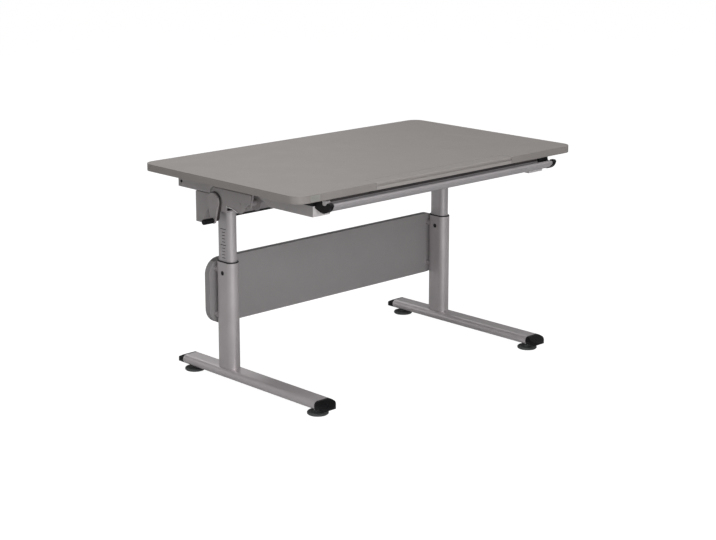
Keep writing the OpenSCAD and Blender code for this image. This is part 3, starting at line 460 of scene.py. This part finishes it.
# Trim, with pieces of painted shade and painted highlight. In the pieces made for each side, s is -1 on
# the left and 1 on the right
def scale_marks():
    """Ink in the grooves of the left inner column's height scale, every fifth of them long"""
    count, pitch, height, start = 10, 0.010, 0.0022, 0.010
    short, long = (-0.010, 0.005), (-0.014, 0.012)
    groove, margin, corner_radius = 0.0005, 0.0001, 0.0003
    face_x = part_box("left_inner_column")[0][0]
    middle_y = side_middle("left_inner_column")[0]
    first_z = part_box("left_column_bush")[1][2] + start
    bm = bmesh.new()
    for i in range(count):
        y0, y1 = long if i % 5 == 4 else short
        z = first_z + pitch * i
        low = (face_x + groove / 2, middle_y + y0 + margin, z + margin)
        high = (face_x + groove, middle_y + y1 - margin, z + height - margin)
        made = bmesh.ops.create_cube(bm, size=1.0)["verts"]
        for vert in made:
            for k in range(3):
                vert.co[k] = low[k] if vert.co[k] < 0 else high[k]
        across = [e for e in bm.edges if e.verts[0] in made and e.verts[0].co.x != e.verts[1].co.x]
        bmesh.ops.bevel(bm, geom=across, offset=corner_radius, segments=2, affect="EDGES")
    return mesh_object("scale_marks", bm, ink_mat)


def rail_top_shade(side, s):
    """Black strip on the upper front corner of a side rail, turned in over its front end: painted shade
    in the gap under the top
    """
    thick, tab, height, top_gap = 0.0008, 0.008, 0.024, 0.0005
    outer = outer_x(side + "_side_rail")
    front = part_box(side + "_side_rail")[0][1]
    rear = behind(0.150)
    corners = [(outer - tab, front - thick), (outer + thick, front - thick), (outer + thick, rear),
               (outer, rear), (outer, front), (outer - tab, front)]
    outline = [(s * x, y) for x, y in corners]
    span = (below(top_gap + height), below(top_gap))
    return swept(side + "_rail_top_shade", outline, "Z", span, black_mat)


def channel_liner():
    """Pale ribbed liner in the channel of the left hook cap"""
    ribs, rib_width = 4, 0.0022
    rail_gap, cap_gap = 0.0002, 0.0004
    tip, valley, root = behind(-0.002), behind(0.013), behind(0.0165)
    bottom, top = below(0.018), below(0.0035)
    inner = outer_x("front_rail") + rail_gap
    outer = outer_x("left_hook_cap") - cap_gap
    pitch = (outer - inner - rib_width) / (ribs - 1)
    comb = [(outer, root), (inner, root)]
    for i in range(ribs):
        near = inner + i * pitch
        far = near + rib_width
        comb += [(near, tip), (far, tip)]
        if i < ribs - 1:
            comb += [(far, valley), (near + pitch, valley)]
    outline = [(-x, y) for x, y in comb]
    return swept("channel_liner", outline, "Z", (bottom, top), liner_mat)


def flange_highlight(side, s):
    """Painted highlight along the lower flange of a head bracket, in a bright coat"""
    height, thick = 0.0025, 0.0005
    from_pivot = (0.057, -0.0135), (0.030, -0.016), (0.004, -0.0242)
    line = [side_middle("pivot_pins") + Vector(step) for step in from_pivot]
    outline = line + [point + Vector((0.0, height)) for point in reversed(line)]
    outer = outer_x(side + "_head_bracket")
    span = (s * outer, s * (outer + thick))
    return swept(side + "_flange_highlight", outline, "X", span, edge_highlight_mat, edge=0.0001)


def lever_shadow_plate():
    """Dark plate behind the release lever, painted shadow in the gap beside the lever: the hull of two
    discs, with a hole for the shaft
    """
    hole_radius, head_radius, tip_radius, steps = 0.0132, 0.0308, 0.013, 24
    head_shift, tip_shift = Vector((-0.0027, 0.0)), Vector((-0.0105, -0.046))
    lever_gap, thick = 0.0002, 0.0027
    shaft = side_middle("release_shaft")
    discs = circle(shaft + head_shift, head_radius, steps) + circle(shaft + tip_shift, tip_radius, steps)
    rim = [discs[i] for i in convex_hull_2d(discs)]
    hole = [shaft + hole_radius * (point - shaft).normalized() for point in rim]
    x0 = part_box("release_lever")[1][0] + lever_gap
    x1 = x0 + thick
    bm = bmesh.new()
    rings = [[bm.verts.new((x, *point)) for point in ring]
             for x, ring in ((x0, hole), (x0, rim), (x1, rim), (x1, hole))]
    for k, ring in enumerate(rings):
        after = rings[(k + 1) % len(rings)]
        for i, vert in enumerate(ring):
            j = (i + 1) % len(ring)
            bm.faces.new((vert, ring[j], after[j], after[i]))
    bmesh.ops.recalc_face_normals(bm, faces=bm.faces)
    return mesh_object("lever_shadow_plate", bm, shade_brown_mat)


def beam_shade_strip():
    """Black strip along the lower front edge of the cross beam, on its slope: painted shade on the
    beam's lower edge
    """
    width, thick, end_gap = 0.009, 0.0008, 0.0005
    beam_floor, beam_upright = 0.028, 0.024
    low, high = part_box("cross_beam")
    foot = Vector((high[1] - beam_floor, low[2]))
    up = (Vector((low[1], high[2] - beam_upright)) - foot).normalized()
    out = Vector((-up[1], up[0]))
    top = foot + width * up
    outline = (foot, top, top + thick * out, foot + thick * out)
    end = outer_x("cross_beam") - end_gap
    return swept("beam_painted_shade", outline, "X", (-end, end), black_mat)


def filler_span():
    """Where the stop filler is along the front rail, near its right end"""
    length, end_gap = 0.038, 0.0005
    right = outer_x("front_rail") - end_gap
    return right - length, right


def rail_shade_strip():
    """Dark strip on the upright of the front rail, up to the stop filler: painted shade under the top"""
    thick, end_gap, filler_gap, top_gap = 0.0008, 0.001, 0.0015, 0.0002
    upright = behind(0.0185)
    bottom = below(0.014)
    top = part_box("front_rail")[1][2] - top_gap
    outline = rectangle(upright - thick, bottom, upright, top)
    span = (end_gap - outer_x("front_rail"), filler_span()[0] - filler_gap)
    return swept("front_rail_painted_shade", outline, "X", span, shade_brown_mat)


def stop_filler():
    """Black filler at the right end of the front rail, in front of its upright"""
    front, rear = behind(0.009), behind(0.0184)
    bottom, top = below(0.018), below(0.003)
    outline = rectangle(front, bottom, rear, top)
    return swept("stop_filler", outline, "X", filler_span(), black_mat, edge=0.0005)


def rail_plug(side, s):
    """Black plug in the hole near the rear end of a side rail"""
    radius, steps, sunk, proud = 0.0048, 20, 0.001, 0.0008
    from_end, from_bottom = 0.015, 0.017
    low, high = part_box(side + "_side_rail")
    outline = circle(Vector((high[1] - from_end, low[2] + from_bottom)), radius, steps)
    outer = outer_x(side + "_side_rail")
    span = (s * (outer - sunk), s * (outer + proud))
    return swept(side + "_rail_plug", outline, "X", span, black_mat, edge=0.0003)


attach(scale_marks(), "lift_frame")
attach(beam_shade_strip(), "lift_frame")
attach(lever_shadow_plate(), "release_lever")
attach(rail_shade_strip(), "tilting_top")
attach(stop_filler(), "tilting_top")
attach(channel_liner(), "tilting_top")
for side, s in (("left", -1), ("right", 1)):
    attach(flange_highlight(side, s), "lift_frame")
    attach(rail_plug(side, s), "tilting_top")
    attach(rail_top_shade(side, s), "tilting_top")


# Floor
def floor_material():
    """A pale matt floor that keeps shadows, brought near white where the camera sees it"""
    grey, glow, glow_share = 0.68, 1.38, 0.70
    spread = 0.02 / grey
    mat, tree, bsdf = new_material("floor")
    cloud = noise(tree, object_coords(tree), scale=1.2, detail=3.0)
    tree.links.new(two_tone(tree, cloud, (grey, grey, grey), spread), bsdf.inputs["Base Color"])
    bsdf.inputs["Roughness"].default_value = 0.9
    bsdf.inputs["Specular IOR Level"].default_value = 0.0
    white = tree.nodes.new("ShaderNodeEmission")
    white.inputs["Strength"].default_value = glow
    path = tree.nodes.new("ShaderNodeLightPath")
    amount = math_node(tree, "MULTIPLY", seen_by_camera(tree, path), glow_share)
    mixed = mix_shaders(tree, amount, bsdf.outputs["BSDF"], white.outputs["Emission"])
    out = next(node for node in tree.nodes if node.type == "OUTPUT_MATERIAL")
    tree.links.new(mixed, out.inputs["Surface"])
    return mat


def studio_floor():
    bm = bmesh.new()
    bmesh.ops.create_grid(bm, x_segments=8, y_segments=8, size=60.0)
    return mesh_object("floor", bm, floor_material())


floor = studio_floor()
